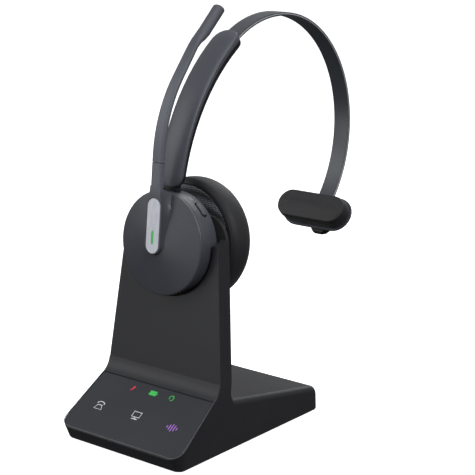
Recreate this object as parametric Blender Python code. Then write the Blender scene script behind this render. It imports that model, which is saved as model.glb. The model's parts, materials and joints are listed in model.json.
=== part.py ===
"""Mono wireless office headset standing in its charging dock.

World frame: +Z up, origin under the centre of the dock, -Y towards the touch panel, +Y towards the
headband's far end. The upright and the ear cup share one frame that leans back by LEAN: its origin is
the centre of the round boom cap, local Y runs along the cup's axis into the ear, local Z runs up the
upright. All dimensions are in millimetres and are scaled to metres when a mesh is made.
"""

import math

import bmesh
import bpy
from mathutils import Matrix, Vector

MM = 0.001
GAP = 0.3  # clearance between neighbouring pieces
RUN = 0.08  # radial clearance of a pin in its hole

# Dock
BASE_HALF_X = 42.0
BASE_FRONT = -60.4
BASE_REAR = 63.0
BASE_CORNER = 4.2
BASE_BOTTOM = 0.25
WALL = 2.3
LIP = (44.1, -64.3, 8.6)  # (half width, y, z) of the top edge that overhangs the front
SEAM = (41.0, -31.2, 31.0)  # the same where the touch panel ends
LIP_CORNER = 6.5
LIP_RIM = 0.9  # width of the rim round the touch panel
PANEL_SLOPE = math.atan2(SEAM[2] - LIP[2], SEAM[1] - LIP[1])
PANEL_LENGTH = math.hypot(SEAM[2] - LIP[2], SEAM[1] - LIP[1])
PANEL_TAPER = math.atan2(LIP[0] - SEAM[0], PANEL_LENGTH)
FILLET_R = 12.0  # between the panel's slope and the upright
REAR_FILLET_R = 4.0
REAR_DRAFT = 0.032
WEDGE_FRONT = (-16.0, 28.0)  # (y, z) of the rear wedge's top
WEDGE_REAR = (BASE_REAR, 14.1)

# Leaning frame of the upright and the cup
LEAN = math.radians(5.65)
CUP_CENTRE = (0.0, -26.69, 111.25)
UPRIGHT_FRONT = 7.8
UPRIGHT_BACK = 17.6
UPRIGHT_HALF_X = 33.95  # at the cup's centre line
UPRIGHT_TAPER = 0.1014  # growth of the half width per mm downwards
HORN_TOP = 16.7
HORN_INNER_X = 20.8
HORN_FRONT = 14.5
LEDGE_FRONT = 2.3
LEDGE_REAR = 4.5
POCKET_R = 29.8
NOTCH_R = 21.8

# Ear cup
CAP_R = 28.5
CAP_APEX = -7.1
RIDGE_FACE = -7.2
CUP_R = 28.2
CUP_BACK = 14.2
NECK_R = 21.0
CUSHION_R = 34.9
CUSHION_FRONT = 40.4
PIN_AXIAL = 11.0
PILL_MIDDLE = 10.0
PILL_HALF_RUN = 10.45
PILL_R = 4.55
RIDGE_RIM = 1.1  # width of the ridge's flat face round the call button
MIC_HOLE = (-6.1, 0.45)  # (up, radius) of the voice microphone's hole below the call button
ROCKER_ANGLE = math.radians(43.0)  # from the top of the cup towards +X
ROCKER_AXIAL = 9.0
ROCKER_HALF_RUN = 3.0
ROCKER_R = 1.6
ROCKER_GAP = 0.45

# Boom
ROOT_WIDTH = 7.4
ROOT_THICK = 3.6
ARM_WIDTH = 6.7
ARM_THICK = 2.9
BOOM_CORNER = 1.4
ROOT_TOP = 44.0
BOOM_BENDS = (  # (run from the cup's centre at which a bend starts, its radius, its turn)
    (48.3, 76.0, math.radians(33.5)),
    (110.0, 71.6, math.radians(8.0)),
)
ARM_RUN = 112.4  # run at which the microphone tip starts
TIP_LENGTH = 29.5

# Headband
SLEEVE_CENTRE = (92.6, 123.45)
SLEEVE_R = 114.1  # to the edges of its outer face
SLEEVE_FROM = math.radians(8.9)
SLEEVE_TO = math.radians(58.5)
SLEEVE_HALF_X = 8.3
SLEEVE_CORNER = 7.2
SLEEVE_THICK = (4.2, 6.4)  # at the lower and the upper end
SLEEVE_CROWN = 1.0
BAND_CENTRE = (70.5, 155.2)
BAND_R = 71.8
BAND_THICK = 2.2
BAND_HALF_WIDTH = 5.4
BAND_HIDDEN = math.radians(137.0)
BAND_END = math.radians(-42.4)
TILT_PIN = (6.4, 37.2)  # (axial, up) of the pin that joins the sleeve to its stem
STEM_AXIAL = 7.6

# Temple rest
REST_ANGLE = math.radians(35.0)
REST_PIN = (0.9, -15.3)


# ---------------------------------------------------------------- helpers
def clear_scene():
    for obj in list(bpy.data.objects):
        bpy.data.objects.remove(obj, do_unlink=True)


def material(name, colour, roughness, metallic=0.0):
    mat = bpy.data.materials.new(name)
    mat.use_nodes = True
    shader = mat.node_tree.nodes["Principled BSDF"]
    shader.inputs["Base Color"].default_value = (*colour, 1.0)
    shader.inputs["Roughness"].default_value = roughness
    shader.inputs["Metallic"].default_value = metallic
    return mat


def empty(name, location=(0, 0, 0), turn_x=0.0, parent=None):
    obj = bpy.data.objects.new(name, None)
    bpy.context.scene.collection.objects.link(obj)
    obj.empty_display_size = 0.01
    obj.parent = parent
    obj.location = Vector(location) * MM
    obj.rotation_euler = (turn_x, 0.0, 0.0)
    return obj


def add(name, bm, mat=None, parent=None, location=(0, 0, 0), turn=(0, 0, 0), smooth=35):
    """Makes an object of a bmesh whose points are in mm; without a material it is a hidden cutter."""
    bmesh.ops.scale(bm, vec=Vector((MM, MM, MM)), verts=bm.verts)
    bmesh.ops.recalc_face_normals(bm, faces=bm.faces)
    mesh = bpy.data.meshes.new(name)
    bm.to_mesh(mesh)
    bm.free()
    obj = bpy.data.objects.new(name, mesh)
    bpy.context.scene.collection.objects.link(obj)
    obj.parent = parent
    obj.location = Vector(location) * MM
    obj.rotation_euler = turn
    if mat is None:
        obj.hide_render = True
        obj.display_type = "WIRE"
    else:
        mesh.materials.append(mat)
        mesh.shade_smooth()
        mesh.set_sharp_from_angle(angle=math.radians(smooth))
    return obj


def boolean(target, tool, operation="DIFFERENCE"):
    step = target.modifiers.new(operation.title() + "_" + tool.name, "BOOLEAN")
    step.operation = operation
    step.solver = "EXACT"
    step.object = tool
    return step


def bevel(obj, width, segments=2, angle=40):
    step = obj.modifiers.new("Bevel", "BEVEL")
    step.width = width * MM
    step.segments = segments
    step.limit_method = "ANGLE"
    step.angle_limit = math.radians(angle)
    return step


def loft(rings):
    """Closed skin over rings that hold the same number of points, capped at both ends."""
    bm = bmesh.new()
    loops = [[bm.verts.new(point) for point in ring] for ring in rings]
    for first, second in zip(loops, loops[1:]):
        for i in range(len(first)):
            j = (i + 1) % len(first)
            bm.faces.new((first[i], first[j], second[j], second[i]))
    bm.faces.new(loops[0][::-1])
    bm.faces.new(loops[-1])
    return bm


def prism(outline, low, high, axis="y"):
    """Outline pushed from low to high along an axis; it is given in the other two axes, in order."""
    place = {
        "x": lambda p, h: (h, p[0], p[1]),
        "y": lambda p, h: (p[0], h, p[1]),
        "z": lambda p, h: (p[0], p[1], h),
    }[axis]
    return loft([[place(p, low) for p in outline], [place(p, high) for p in outline]])


def box(x, y, z):
    """Box from three (low, high) pairs."""
    return prism([(x[0], y[0]), (x[1], y[0]), (x[1], y[1]), (x[0], y[1])], z[0], z[1], "z")


def arc(centre, radius, start, end, steps):
    return [
        (
            centre[0] + radius * math.cos(start + (end - start) * i / steps),
            centre[1] + radius * math.sin(start + (end - start) * i / steps),
        )
        for i in range(steps + 1)
    ]


def disc(centre, radius, steps=24):
    return arc(centre, radius, 0.0, 2 * math.pi * (1 - 1 / steps), steps - 1)


def stadium(centre, half_length, radius, along="x", steps=10):
    """Capsule outline whose straight run is 2 * half_length long."""
    if along == "x":
        right = arc((centre[0] + half_length, centre[1]), radius, -math.pi / 2, math.pi / 2, steps)
        left = arc((centre[0] - half_length, centre[1]), radius, math.pi / 2, 1.5 * math.pi, steps)
        return right + left
    top = arc((centre[0], centre[1] + half_length), radius, 0.0, math.pi, steps)
    low = arc((centre[0], centre[1] - half_length), radius, math.pi, 2 * math.pi, steps)
    return top + low


def rounded(half_x, half_y, radius, centre=(0.0, 0.0), steps=5):
    corners = ((1, 1, 0), (-1, 1, 1), (-1, -1, 2), (1, -1, 3))
    points = []
    for sx, sy, quarter in corners:
        middle = (centre[0] + sx * (half_x - radius), centre[1] + sy * (half_y - radius))
        points += arc(middle, radius, quarter * math.pi / 2, (quarter + 1) * math.pi / 2, steps)
    return points


def inset(outline, distance):
    """Outline moved inwards by a distance; outlines run anticlockwise."""
    moved = []
    for i, point in enumerate(outline):
        before = Vector(outline[i - 1]) - Vector(point)
        after = Vector(outline[(i + 1) % len(outline)]) - Vector(point)
        into = Vector((-after.normalized().y + before.normalized().y,
                       after.normalized().x - before.normalized().x))
        into.normalize()
        lean = abs(into.dot(Vector((-after.y, after.x)).normalized()))
        moved.append(tuple(Vector(point) + into * distance / max(lean, 0.5)))
    return moved


def lathe(profile, steps=48, closed=True, axis=(0, 1, 0)):
    """Turns a profile of (along, radius) about the Y or Z axis; an open profile starts and ends on it."""
    bm = bmesh.new()
    upright = axis[2] == 1
    points = [
        bm.verts.new((radius, 0.0, along) if upright else (radius, along, 0.0)) for along, radius in profile
    ]
    edges = [bm.edges.new(pair) for pair in zip(points, points[1:])]
    if closed:
        edges.append(bm.edges.new((points[-1], points[0])))
    bmesh.ops.spin(bm, geom=points + edges, cent=(0, 0, 0), axis=axis, angle=2 * math.pi, steps=steps,
                   use_merge=True)
    bmesh.ops.remove_doubles(bm, verts=bm.verts, dist=1e-4)
    return bm


def joined(parts):
    """Puts several bmeshes into one, each left as its own shell."""
    whole = bmesh.new()
    for part in parts:
        mesh = bpy.data.meshes.new("part")
        part.to_mesh(mesh)
        part.free()
        whole.from_mesh(mesh)
        bpy.data.meshes.remove(mesh)
    return whole


def moved(bm, offset=(0, 0, 0), turn=None):
    if turn is not None:
        bmesh.ops.transform(bm, matrix=turn, verts=bm.verts)
    bmesh.ops.translate(bm, vec=Vector(offset), verts=bm.verts)
    return bm


# ---------------------------------------------------------------- dock
def slope_z(y):
    return LIP[2] + (y - LIP[1]) * math.tan(PANEL_SLOPE)


def wedge_z(y):
    fraction = (y - WEDGE_FRONT[0]) / (WEDGE_REAR[0] - WEDGE_FRONT[0])
    return WEDGE_FRONT[1] + (WEDGE_REAR[1] - WEDGE_FRONT[1]) * fraction


def corner_pull(inside, radius):
    """How far a side is drawn in by its round corner at a distance from the corner's end."""
    into = max(radius - inside, 0.0)
    return radius - math.sqrt(max(radius**2 - into**2, 0.0))


def base_ring(foot_y, edge_y, top, half_top, top_radius, pulls=(0.0, 0.0), low=BASE_BOTTOM, shrink=0.0):
    """Cross-section of the base: flat foot, side walls ruled from the foot up to the rounded top edges."""
    outline = [(-0.6, low), (0.0, low + 0.6), (0.0, top - top_radius)]
    outline += arc((-top_radius, top - top_radius), top_radius, 0.0, math.pi / 2, 4)[1:]
    ring = []
    for inward, z in outline:
        rise = z / top
        pull = pulls[0] + (pulls[1] - pulls[0]) * rise
        half = BASE_HALF_X + (half_top - BASE_HALF_X) * rise - pull - shrink
        ring.append((half + inward, foot_y + (edge_y - foot_y) * rise, z))
    return ring + [(-x, y, z) for x, y, z in reversed(ring)]


def front_ring(inside, drop, top_radius, thick=0.0, low=BASE_BOTTOM):
    """Cross-section of the overhanging front part at a distance from its lip; thick makes a hollow."""
    edge_y = LIP[1] + inside
    fraction = inside / (SEAM[1] - LIP[1])
    foot_y = BASE_FRONT + (SEAM[1] - BASE_FRONT) * fraction
    half_top = LIP[0] + (SEAM[0] - LIP[0]) * fraction
    top = slope_z(edge_y) - drop - thick / math.cos(PANEL_SLOPE)
    pulls = (corner_pull(inside - thick, BASE_CORNER), corner_pull(inside - thick, LIP_CORNER))
    return base_ring(foot_y, edge_y, top, half_top, top_radius, pulls, low, thick)


def rear_ring(y, top, top_radius, thick=0.0, low=BASE_BOTTOM):
    pull = corner_pull(BASE_REAR - thick - y, BASE_CORNER)
    half_top = BASE_HALF_X - REAR_DRAFT * top
    return base_ring(y, y, top, half_top, top_radius, (pull, pull), low, thick)


def upright_y(z):
    """World y of the upright's front face at a height."""
    up = (z - CUP_CENTRE[2] + UPRIGHT_FRONT * math.sin(LEAN)) / math.cos(LEAN)
    return CUP_CENTRE[1] + UPRIGHT_FRONT * math.cos(LEAN) + up * math.sin(LEAN)


def front_fillet():
    """(y, z) from the panel's upper end round to the upright's front face."""
    meet_y, meet_z = upright_y(34.5), 34.5  # where the two planes cross
    upright_slope = math.pi / 2 - LEAN
    tangent = FILLET_R * math.tan((upright_slope - PANEL_SLOPE) / 2)
    start = (meet_y - tangent * math.cos(PANEL_SLOPE), meet_z - tangent * math.sin(PANEL_SLOPE))
    points = []
    for i in range(7):
        angle = PANEL_SLOPE + (upright_slope - math.radians(5.0) - PANEL_SLOPE) * i / 6
        points.append((start[0] + FILLET_R * (math.sin(angle) - math.sin(PANEL_SLOPE)),
                       start[1] + FILLET_R * (math.cos(PANEL_SLOPE) - math.cos(angle))))
    return points


def base_solid():
    rings = [front_ring(inside, drop, 0.8) for inside, drop in (
        (0.0, 0.9), (0.15, 0.4), (0.6, 0.05), (1.5, 0.0), (2.8, 0.0), (4.6, 0.0), (LIP_CORNER, 0.0),
        (20.0, 0.0))]
    rings += [base_ring(y, y, z, SEAM[0], 0.8) for y, z in front_fillet()]
    y, z = front_fillet()[-1]
    rings += [rear_ring(y + 0.5, z + 0.2, 1.0), rear_ring(-17.6, 34.0, 2.0)]
    for i in range(5):
        angle = math.pi / 2 * i / 4
        y = -16.9 + REAR_FILLET_R * (1 - math.cos(angle))
        rings.append(rear_ring(y, wedge_z(y) + REAR_FILLET_R * (1 - math.sin(angle)), 2.2 + 0.3 * i))
    rings += [rear_ring(y, wedge_z(y), 3.4) for y in (10.0, 35.0)]
    rear_round = ((7.0, 0.0), (4.2, 0.1), (2.8, 0.5), (1.5, 1.2), (0.6, 2.1), (0.15, 3.0), (0.0, 3.8))
    for inside, drop in rear_round:
        y = BASE_REAR - inside
        rings.append(rear_ring(y, wedge_z(y) - drop, 3.4))
    return loft(rings)


def base_cavity():
    rings = [front_ring(inside, 0.0, 0.8, WALL, -3.0) for inside in (2.6, 3.4, 5.0, 9.0, 20.0, 31.0)]
    rings += [rear_ring(-26.0, 31.0, 0.8, WALL, -3.0), rear_ring(-19.5, 29.0, 1.0, WALL, -3.0)]
    rings += [rear_ring(y, wedge_z(y) - WALL, 1.4, WALL, -3.0) for y in (-14.0, 20.0, 54.0, 57.0, 59.4)]
    rings.append(rear_ring(60.5, wedge_z(60.5) - WALL - 1.4, 1.4, WALL, -3.0))
    return loft(rings)


def horn_curve(cut, to_angle):
    """Quarter ellipse that rounds the upright's upper corner, drawn in by cut."""
    wide, high = UPRIGHT_HALF_X - HORN_INNER_X - cut, HORN_TOP - cut
    return [(HORN_INNER_X + wide * math.cos(to_angle * i / 8),
             high * math.sin(to_angle * i / 8)) for i in range(9)]


def upright_side(cut, low):
    """Straight side of the upright from a low point up to the cup's centre line."""
    return (UPRIGHT_HALF_X + UPRIGHT_TAPER * -low - cut, low)


def upright_outline():
    """Front view of the upright in the leaning frame, anticlockwise from its lower right corner."""
    right = [(37.0, -96.0), (SEAM[0] + 0.2, -84.0), upright_side(0.0, -71.0)] + horn_curve(0.0, math.pi / 2)
    return right + [(-x, u) for x, u in reversed(right)]


def cover_outline():
    """Outline of the upright's rear cover: inside the upright's edge and around the neck notch."""
    side = [(39.0, -76.4), upright_side(2.1, -71.0)] + horn_curve(2.1, math.radians(68.0))
    radius = NOTCH_R + 1.9
    notch = [(radius, 13.4)] + arc((0.0, 0.0), radius, 0.0, -math.pi, 20) + [(-radius, 13.4)]
    return side + notch + [(-x, u) for x, u in reversed(side)]


def neck_notch(radius, low, high):
    outline = arc((0.0, 0.0), radius, math.pi, 2 * math.pi, 28) + [(radius, 26.0), (-radius, 26.0)]
    return prism(outline, low, high)


def panel_outline(grow=0.0):
    """Outline of the touch panel on its slope: wider towards the lip, with two round corners there."""
    inset_by = LIP_RIM - grow
    corner = LIP_CORNER - inset_by
    lean = math.tan(PANEL_TAPER)
    front = inset_by + corner
    centre = LIP[0] - lean * front - (inset_by + corner) / math.cos(PANEL_TAPER)
    end = PANEL_LENGTH - GAP + grow
    points = arc((centre, front), corner, -math.pi / 2, PANEL_TAPER, 8)
    points.append((LIP[0] - lean * end - inset_by / math.cos(PANEL_TAPER), end))
    return points + [(-x, s) for x, s in reversed(points)]


def screw_posts():
    return [(sx * 34.6, y) for sx in (1, -1) for y in (-50.5, 54.0)]


def build_dock(mats, cup):
    dock = empty("dock_root")
    slope = empty("panel_frame", (0.0, LIP[1], LIP[2]), PANEL_SLOPE, dock)

    shell = add("stand_shell", base_solid(), mats["dock"], dock)
    outline = upright_outline()
    rings = []
    for depth, cut in ((0.0, 1.0), (0.3, 0.35), (1.0, 0.0)):
        rings.append([(x, UPRIGHT_FRONT + depth, u) for x, u in inset(outline, cut)])
    for depth, cut in ((1.0, 0.0), (0.3, 0.35), (0.0, 1.0)):
        rings.append([(x, UPRIGHT_BACK - depth, u) for x, u in inset(outline, cut)])
    boolean(shell, add("upright_block", loft(rings), parent=cup), "UNION")

    boolean(shell, add("base_hollow", base_cavity(), parent=dock))
    posts = joined([
        prism(disc(at, 3.4, 16), 3.2, 17.6 if at[1] < 0 else 14.0, "z") for at in screw_posts()
    ])
    boolean(shell, add("post_block", posts, parent=dock), "UNION")
    hollow = [(x * 0.885, u) for x, u in ((40.9, -94.0), (40.3, -70.8), (38.0, -47.0), (36.6, -33.4))]
    boolean(shell, add("upright_hollow", prism(hollow + [(-x, u) for x, u in reversed(hollow)], 10.6, 16.4),
                       parent=cup))
    boolean(shell, add("notch_cut", neck_notch(NOTCH_R, 10.0, 22.0), parent=cup))
    boolean(shell, add("cover_recess", prism(inset(cover_outline(), -GAP), 15.9, 20.0), parent=cup))
    ledge = [(-3.0, LEDGE_FRONT), (UPRIGHT_FRONT, LEDGE_FRONT), (HORN_FRONT - 1.0, LEDGE_REAR - 0.6),
             (HORN_FRONT - 0.3, LEDGE_REAR + 0.1), (HORN_FRONT, LEDGE_REAR + 1.2), (HORN_FRONT, 30.0),
             (-3.0, 30.0)]
    boolean(shell, add("ledge_cut", prism(ledge, -50.0, 50.0, "x"), parent=cup))
    boolean(shell, add("pocket_cut", prism(disc((0.0, 0.0), POCKET_R, 56), 0.0, HORN_FRONT + 0.05),
                       parent=cup))
    boolean(shell, add("panel_recess", prism(panel_outline(GAP), -1.5, 4.0, "z"), parent=slope))
    ports = joined([prism(rounded(4.8, 1.95, 1.9, (x, 7.9)), 58.6, 67.0) for x in (-14.0, 14.0)])
    boolean(shell, add("port_cut", ports, parent=dock))
    bores = joined([prism(disc(at, 1.5, 12), 0.0, 7.0, "z") for at in screw_posts()])
    boolean(shell, add("post_bores", bores, parent=dock))
    pins = joined([prism(disc((x, PIN_AXIAL), 1.2, 12), -36.0, -27.0, "z") for x in (-6.0, 6.0)])
    boolean(shell, add("pin_bores", pins, parent=cup))

    add("touch_panel", prism(panel_outline(), -1.2, 0.0, "z"), mats["panel"], slope)
    bevel(bpy.data.objects["touch_panel"], 0.25, 1, 60)
    add("touch_sensor_board", prism(rounded(30.0, 13.5, 3.0, (0.0, 21.0)), -4.1, -3.1, "z"), mats["board"],
        slope)
    rear_cover = add("rear_cover", prism(cover_outline(), 16.2, 17.5), mats["dock"], cup)
    bevel(rear_cover, 0.25, 1, 60)

    plate = add("bottom_plate", prism(rounded(39.0, 58.8, 4.0, (0.0, 1.2)), 1.15, 2.65, "z"), mats["dock"],
                dock)
    heads = joined([prism(disc(at, 2.9, 12), 0.5, 2.0, "z") for at in screw_posts()])
    shanks = joined([prism(disc(at, 1.6, 12), 0.0, 4.0, "z") for at in screw_posts()])
    boolean(plate, add("head_sinks", heads, parent=dock))
    boolean(plate, add("shank_holes", shanks, parent=dock))
    names = ("front_right", "rear_right", "front_left", "rear_left")
    for name, (x, y) in zip(names, screw_posts()):
        screw = lathe([(1.2, 0.0), (1.2, 2.5), (1.9, 2.5), (2.0, 1.2), (6.4, 1.2), (6.9, 0.0)], 12, False,
                      (0, 0, 1))
        add("screw_" + name, screw, mats["steel"], dock, (x, y, 0.0))
    pad = add("anti_slip_pad", prism(rounded(32.0, 49.0, 6.0, (0.0, 1.2)), 0.0, 0.9, "z"), mats["rubber"],
              dock)
    bevel(pad, 0.25, 1, 60)
    add("ballast_weight", prism(rounded(29.0, 21.0, 3.0, (0.0, -6.0)), 3.2, 8.2, "z"), mats["steel"], dock)
    add("dock_board", prism(rounded(30.0, 17.0, 2.0, (0.0, 40.5)), 4.2, 5.8, "z"), mats["board"], dock)
    for name, x in (("usb_port_left", -14.0), ("usb_port_right", 14.0)):
        port = add(name, prism(rounded(4.45, 1.6, 1.55), 54.2, 62.0), mats["steel"], dock, (x, 0.0, 7.9))
        boolean(port, add(name + "_mouth", prism(rounded(4.1, 1.25, 1.2), 55.4, 64.0), parent=dock,
                          location=(x, 0.0, 7.9)))
        boolean(port, add(name + "_tongue", box((-3.3, 3.3), (54.6, 60.4), (-0.35, 0.35)), parent=dock,
                          location=(x, 0.0, 7.9)), "UNION")

    # Lining of the pocket with the two sprung charging pins
    liner = add("cradle_liner", lathe([(8.6, 28.9), (8.6, 29.5), (14.2, 29.5), (14.2, 28.6), (13.9, 28.6),
                                       (13.6, 28.9)], 56), mats["liner"], cup)
    boolean(liner, add("liner_top", box((-40, 40), (0, 20), (1.8, 40)), parent=cup))
    boolean(liner, bpy.data.objects["pin_bores"])
    add("charging_board", box((-16.0, 16.0), (11.2, 15.8), (-35.2, -34.0)), mats["board"], cup)
    for name, x in (("charge_pin_left", -6.0), ("charge_pin_right", 6.0)):
        pin = lathe([(-33.0, 0.0), (-33.0, 0.8), (-28.3, 0.8), (-28.0, 0.65), (-27.87, 0.3), (-27.85, 0.0)],
                    12,
                    False, (0, 0, 1))
        add(name, pin, mats["gold"], cup, (x, PIN_AXIAL, 0.0))


# ---------------------------------------------------------------- ear cup
def ridge_ring(axial, grow, top):
    """Outline of the raised ridge around the pill at one depth; it flares towards the cap's cone."""
    radius = PILL_R + RIDGE_RIM + grow
    neck = ROOT_WIDTH / 2 + 0.55 * grow
    low = arc((0.0, 0.0), radius, math.pi, 2 * math.pi, 14)
    side = []
    for i in range(9):
        along = i / 8
        ease = along * along * (3.0 - 2.0 * along)
        side.append((radius + (neck - radius) * ease, top * (0.55 + 0.45 * along)))
    return [(x, axial, u) for x, u in low + side + [(-x, u) for x, u in reversed(side)]]


def boom_frame(run):
    """(point, direction, inward normal) on the boom's outer face after a run from the cup's centre."""
    axial, up, heading, done = RIDGE_FACE, 0.0, 0.0, 0.0
    for start, radius, turn in BOOM_BENDS:
        straight = min(run, start) - done
        bend = min(max(run - start, 0.0) / radius, turn)
        axial += straight * math.sin(heading) + radius * (math.cos(heading) - math.cos(heading + bend))
        up += straight * math.cos(heading) + radius * (math.sin(heading + bend) - math.sin(heading))
        heading += bend
        done = min(run, start + radius * turn)
    along = Vector((0.0, math.sin(heading), math.cos(heading)))
    return Vector((0.0, axial, up)) + along * (run - done), along, Vector((0.0, along.z, -along.y))


def boom_ring(frame, width, thick, corner, sink=0.0):
    """Rounded section of the boom whose outer face touches the path."""
    centre, along, inward = frame
    middle = centre + inward * (thick / 2 + sink)
    outline = rounded(width / 2, thick / 2, corner, steps=3)
    return [middle + Vector((x, 0.0, 0.0)) + inward * n for x, n in outline]


def boom_section(run):
    """Ring of the root and the arm, which slims steadily from the root's top to the tip."""
    fraction = min(max((run - ROOT_TOP) / (ARM_RUN - ROOT_TOP), 0.0), 1.0)
    width = ROOT_WIDTH + (ARM_WIDTH - ROOT_WIDTH) * fraction
    thick = ROOT_THICK + (ARM_THICK - ROOT_THICK) * fraction
    return boom_ring(boom_frame(run), width, thick, BOOM_CORNER)


def build_cup(mats, cup):
    # Rotating cap: shallow cone with a hub, the ridge and the rigid root of the boom
    profile = [(CAP_APEX, 0.0), (-5.5, 4.5), (-4.45, 9.5), (-3.15, 15.0), (-1.95, 20.0), (-0.85, 24.6),
               (-0.2, 27.4), (0.1, 28.15), (0.6, CAP_R), (1.6, CAP_R), (2.0, 28.2), (2.0, 26.8),
               (-0.4, 20.0), (-3.2, 8.0), (-3.2, 6.0), (4.2, 6.0), (4.2, 4.6), (5.4, 4.6), (5.4, 0.0)]
    cap = add("boom_cap", lathe(profile, 64, False), mats["cup"], cup)
    rings = [ridge_ring(axial, grow, top) for axial, grow, top in (
        (RIDGE_FACE, -0.3, 31.4), (-7.0, 0.0, 31.6), (-6.0, 0.15, 30.8), (-4.5, 0.6, 29.6), (-2.8, 1.5, 28.6),
        (-1.0, 3.0, 27.8), (0.8, 5.0, 27.2))]
    boolean(cap, add("ridge_block", loft(rings), parent=cup), "UNION")
    root = [boom_section(run) for run in (18.0, 30.0, 40.0, ROOT_TOP)]
    boolean(cap, add("root_block", loft(root), parent=cup), "UNION")
    boolean(cap, add("pill_recess", prism(stadium((0.0, PILL_MIDDLE), PILL_HALF_RUN, PILL_R + GAP, "z", 12),
                                          -9.6, -5.5), parent=cup))
    boolean(cap, add("mic_hole", prism(disc((0.0, MIC_HOLE[0]), MIC_HOLE[1], 10), -9.6, -5.4), parent=cup))

    # Call button with its light line
    button = add("call_button", prism(stadium((0.0, PILL_MIDDLE), PILL_HALF_RUN, PILL_R, "z", 14),
                                      -7.35, -6.2), mats["silver"], cup)
    bevel(button, 0.2, 1, 60)
    boolean(button, add("light_slot", prism(stadium((0.0, 3.8), 3.0, 0.75, "z", 4), -8.6, -6.7),
                        parent=cup))
    add("light_line", prism(stadium((0.0, 3.8), 3.0, 0.45, "z", 4), -7.32, -7.0), mats["green"], cup)

    # Slim arm and microphone tip
    start = ROOT_TOP + GAP
    runs = [start + (ARM_RUN - start) * i / 14 for i in range(15)]
    add("boom_arm", loft([boom_section(run) for run in runs]), mats["cup"], cup)
    swell = ((GAP, ARM_WIDTH, ARM_THICK, BOOM_CORNER), (3.8, 6.8, 3.6, 1.7), (7.8, 7.0, 5.2, 2.4),
             (11.8, 7.2, 6.2, 3.0),
             (TIP_LENGTH - 1.2, 7.2, 6.3, 3.0), (TIP_LENGTH - 0.4, 6.6, 5.7, 2.7),
             (TIP_LENGTH, 5.0, 4.3, 2.0))
    tip = [boom_ring(boom_frame(ARM_RUN + run), wide, deep, corner, (6.3 - deep) / 2 if run > 12.0 else 0.0)
           for run, wide, deep, corner in swell]
    add("mic_tip", loft(tip), mats["cup"], cup)

    # Housing
    housing = add("cup_housing", lathe([(2.4, 6.3), (2.4, 27.7), (2.9, CUP_R), (13.2, 28.05),
                                        (CUP_BACK, 27.3),
                                        (CUP_BACK, 26.6), (4.0, 26.6), (4.0, 6.3)], 64), mats["cup"], cup)
    lug = Matrix.Rotation(ROCKER_ANGLE, 4, "Y")
    slot = stadium((0.0, ROCKER_AXIAL), ROCKER_HALF_RUN, ROCKER_R + ROCKER_GAP)
    slot = moved(prism(slot, 24.0, 31.0, "z"), turn=lug)
    boolean(housing, add("rocker_slot", slot, parent=cup))
    pads = joined([box((x - 1.9, x + 1.9), (9.3, 12.6), (-30.0, -24.0)) for x in (-6.0, 6.0)])
    boolean(housing, add("pad_slots", pads, parent=cup))
    boolean(housing, add("stem_hole", prism(disc((0.0, STEM_AXIAL), 2.2 + RUN, 16), 22.0, 32.0, "z"),
                         parent=cup))

    key = stadium((0.0, ROCKER_AXIAL), ROCKER_HALF_RUN, ROCKER_R, steps=8)
    rocker = add("volume_rocker", moved(prism(key, 26.4, 30.0, "z"), turn=lug), mats["cup"], cup)
    boolean(rocker, add("rocker_skin", prism(disc((0.0, 0.0), 28.75, 64), 0.0, 16.0), parent=cup),
            "INTERSECT")
    for name, x in (("charge_contact_left", -6.0), ("charge_contact_right", 6.0)):
        add(name, box((x - 1.6, x + 1.6), (9.6, 12.3), (-27.45, -26.0)), mats["gold"], cup)

    add("boom_retainer", lathe([(4.35, 4.6 + RUN), (4.35, 7.6), (5.2, 7.6), (5.2, 4.6 + RUN)], 24),
        mats["steel"], cup)
    add("headset_board", prism(disc((0.0, 0.0), 22.5, 28), 5.9, 6.9), mats["board"], cup)
    add("battery", prism(rounded(14.0, 10.0, 1.5, (0.0, -1.0)), 7.4, 12.0), mats["battery"], cup)
    add("cup_rear_cover", lathe([(12.7, 19.4), (12.7, 26.3), (13.9, 26.3), (13.9, NECK_R), (18.0, NECK_R),
                                 (18.0, 19.4)], 48), mats["dark"], cup)
    add("speaker_driver", lathe([(17.0, 0.0), (17.0, 9.0), (18.4, 15.6), (21.3, 15.6), (21.6, 14.0),
                                 (21.0, 6.0),
                                 (21.4, 0.0)], 28, False), mats["steel"], cup)
    add("speaker_baffle", lathe([(18.35, 15.9), (18.35, NECK_R), (18.95, 30.7), (20.0, 30.7), (20.0, 15.9)],
                                48),
        mats["mesh"], cup)
    add("cushion_ring", lathe([(19.1, 31.4), (19.4, 32.8), (20.3, 33.9), (21.8, 34.6), (21.9, 24.0),
                               (20.35, 24.0), (20.35, 31.4)], 56), mats["ring"], cup)
    add("driver_grille", lathe([(22.1, 0.0), (22.1, 12.9), (22.9, 12.9), (22.9, 0.0)], 28, False),
        mats["liner"], cup)
    cushion = lathe([(22.25, 14.5), (22.25, 33.7), (23.6, 34.7), (29.0, CUSHION_R), (34.6, 34.4),
                     (38.6, 32.0),
                     (CUSHION_FRONT, 26.0), (39.6, 18.6), (36.5, 14.4), (30.0, 13.4)], 48)
    add("ear_cushion", cushion, mats["leather"], cup)


# ---------------------------------------------------------------- headband
def sleeve_frame(angle):
    """Middle of the sleeve's outer face, and its outward direction, in world coordinates."""
    outward = Vector((0.0, -math.cos(angle), math.sin(angle)))
    return Vector((0.0, SLEEVE_CENTRE[0], SLEEVE_CENTRE[1])) + outward * SLEEVE_R, outward


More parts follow.
